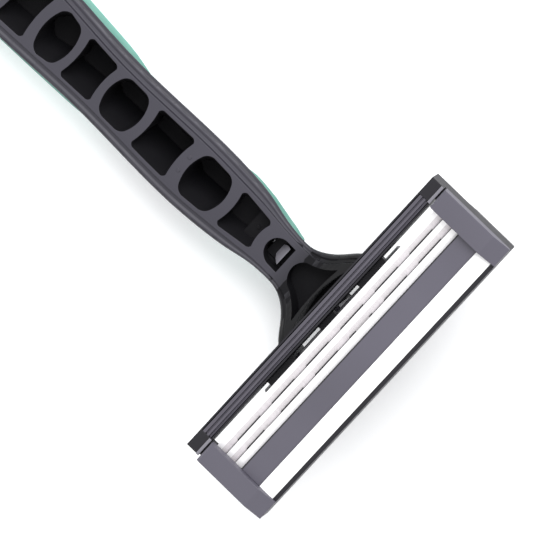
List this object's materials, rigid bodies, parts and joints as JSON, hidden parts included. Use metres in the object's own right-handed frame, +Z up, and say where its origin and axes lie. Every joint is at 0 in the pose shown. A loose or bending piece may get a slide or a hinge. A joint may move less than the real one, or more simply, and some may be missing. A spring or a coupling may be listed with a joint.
{
  "type": "cartridge razor",
  "caption": "Hand razor with a pivoting bladed head, a ribbed hollow handle and soft back grips, lying on its back.",
  "frame": {"origin": "middle of the footprint, on the surface that the razor lies on", "axes": "+X along the blades, +Y from the head towards the handle's tail, +Z up, out of the shaving face"},
  "size_m": [0.042, 0.115, 0.0159],
  "materials": {
    "black_plastic": "satin",
    "grey_plastic": "satin",
    "green_grip": "matte",
    "guard_rubber": "matte",
    "blade_steel": "polished",
    "spacer_metal": "satin",
    "spring_steel": "satin",
    "white_strip": "matte"
  },
  "bodies": {
    "handle": {"handle_body": "black_plastic", "front_pad": "green_grip", "rear_grip": "green_grip", "pivot_pin": "black_plastic", "return_spring": "spring_steel"},
    "head": {"housing": "grey_plastic", "guard_strip": "guard_rubber", "blade_1": "blade_steel", "blade_2": "blade_steel", "blade_3": "blade_steel", "spacer_1": "spacer_metal", "spacer_2": "spacer_metal", "stake_pins": "grey_plastic", "cap_bar": "grey_plastic", "lubricating_strip": "white_strip", "end_cap_left": "grey_plastic", "end_cap_right": "grey_plastic"},
    "plunger": {"return_plunger": "black_plastic"}
  },
  "joints": [
    {"name": "head_pivot", "type": "hinge", "parent": "handle", "child": "head", "pos_m": [0, -0.04888, 0.011], "axis": [1, 0, 0], "range_deg": [0, 35], "stiffness_Nm_per_rad": 0.02, "springref_deg": -11.46},
    {"name": "plunger_slide", "type": "slide", "parent": "handle", "child": "plunger", "axis": [0, 1, 0], "range_m": [0, 0.0011], "deforming": ["return_spring"]}
  ],
  "couplings": [
    {"joint": "plunger_slide", "follows": "head_pivot", "m_per_rad": 0.0018}
  ]
}
